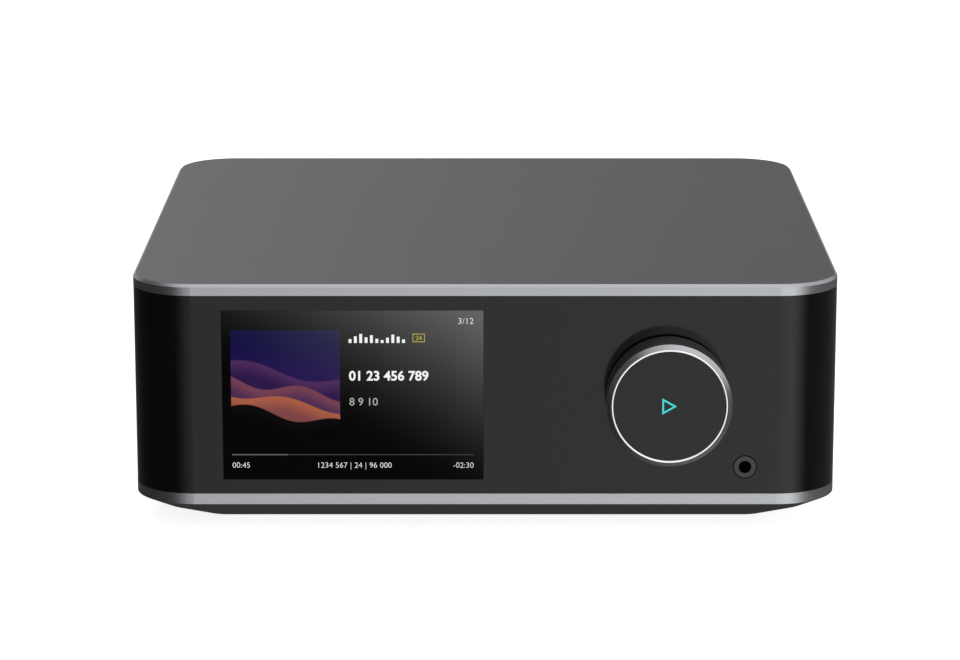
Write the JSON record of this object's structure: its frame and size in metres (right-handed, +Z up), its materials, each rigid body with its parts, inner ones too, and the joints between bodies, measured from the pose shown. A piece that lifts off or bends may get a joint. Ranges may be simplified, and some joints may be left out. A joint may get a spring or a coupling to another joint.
{
  "type": "network music streamer",
  "caption": "Desktop network music streamer: rounded metal case, gloss front with display, turn-and-press volume knob, headphone socket, rear audio, network and power sockets.",
  "frame": {"origin": "centre of the footprint, on the surface the feet stand on", "axes": "+X to the right seen from the front, +Y to the back, +Z up; the display and knob face -Y"},
  "size_m": [0.2, 0.2177, 0.073],
  "materials": {
    "case_aluminium": "satin anodised",
    "base_dark": "fine satin",
    "rubber_black": "matte",
    "gloss_black": "high gloss",
    "display_glass": "polished",
    "display_dark": "dark panel",
    "frame_plastic": "moulded",
    "knob_metal": "dark anodised",
    "bright_trim": "polished",
    "symbol_cyan": "translucent inlay",
    "turned_brass": "machined",
    "gold_plated": "plated",
    "tinned_steel": "tin plated",
    "circuit_board": "solder mask",
    "chip_black": "moulded",
    "core_dark": "ferrite",
    "bare_aluminium": "mill finish",
    "ribbon_white": "flexible",
    "film_box": "moulded box",
    "socket_black": "moulded",
    "panel_black": "powder coated",
    "insert_white": "moulded",
    "insert_red": "moulded"
  },
  "bodies": {
    "housing": {"housing_shell": "case_aluminium", "base_tray": "base_dark", "rubber_feet": "rubber_black", "front_fascia": "gloss_black", "display_glass": "display_glass", "display_module": "display_dark", "front_frame": "frame_plastic", "press_switch": "chip_black", "control_board": "circuit_board", "headphone_bezel": "bright_trim", "headphone_jack": "socket_black", "main_board": "circuit_board", "power_board": "circuit_board", "board_standoffs": "turned_brass", "shield_cans": "tinned_steel", "circuit_chips": "chip_black", "film_capacitors": "film_box", "board_sockets": "ribbon_white", "ribbon_cables": "ribbon_white", "transformer": "core_dark", "heat_sink": "bare_aluminium", "antennas": "circuit_board", "phono_blocks": "socket_black", "phono_shells": "gold_plated", "phono_inserts_white": "insert_white", "phono_inserts_red": "insert_red", "optical_sockets": "socket_black", "trigger_jack": "socket_black", "hdmi_socket": "tinned_steel", "network_socket": "tinned_steel", "network_contacts": "gold_plated", "usb_socket": "tinned_steel", "socket_tongues": "socket_black", "mains_inlet": "socket_black", "inlet_pins": "tinned_steel", "rear_panel": "panel_black", "ground_post": "gold_plated"},
    "knob_plunger": {"knob_face": "knob_metal", "play_symbol": "symbol_cyan", "switch_button": "chip_black"},
    "volume_ring": {"volume_knob": "knob_metal"},
    "optical_in_flap": {"optical_in_flap": "socket_black"},
    "optical_out_flap": {"optical_out_flap": "socket_black"},
    "ground_washer": {"ground_washer": "gold_plated"},
    "ground_nut": {"ground_nut": "gold_plated"}
  },
  "joints": [
    {"name": "knob_press", "type": "slide", "parent": "housing", "child": "knob_plunger", "axis": [0, 1, 0], "range_m": [0, 0.0005], "stiffness_N_per_m": 800, "springref_m": -0.0025},
    {"name": "volume_turn", "type": "hinge", "parent": "knob_plunger", "child": "volume_ring", "pos_m": [0.05125, -0.09625, 0.0411], "axis": [0, 1, 0], "continuous": true},
    {"name": "optical_in_flap_hinge", "type": "hinge", "parent": "housing", "child": "optical_in_flap", "pos_m": [0.03731, 0.09595, 0.02945], "axis": [-1, 0, 0], "range_deg": [0, 85], "stiffness_Nm_per_rad": 0.0005, "springref_deg": -17.19},
    {"name": "optical_out_flap_hinge", "type": "hinge", "parent": "housing", "child": "optical_out_flap", "pos_m": [0.02308, 0.09595, 0.02945], "axis": [-1, 0, 0], "range_deg": [0, 85], "stiffness_Nm_per_rad": 0.0005, "springref_deg": -17.19},
    {"name": "ground_washer_travel", "type": "slide", "parent": "housing", "child": "ground_washer", "axis": [0, 1, 0], "range_m": [0, 0.0035]},
    {"name": "ground_nut_turn", "type": "hinge", "parent": "ground_washer", "child": "ground_nut", "pos_m": [0.07087, 0.10185, 0.05878], "axis": [0, 1, 0], "range_deg": [0, 1802]}
  ],
  "couplings": [
    {"joint": "ground_nut_turn", "follows": "ground_washer_travel", "rad_per_m": 8976}
  ]
}
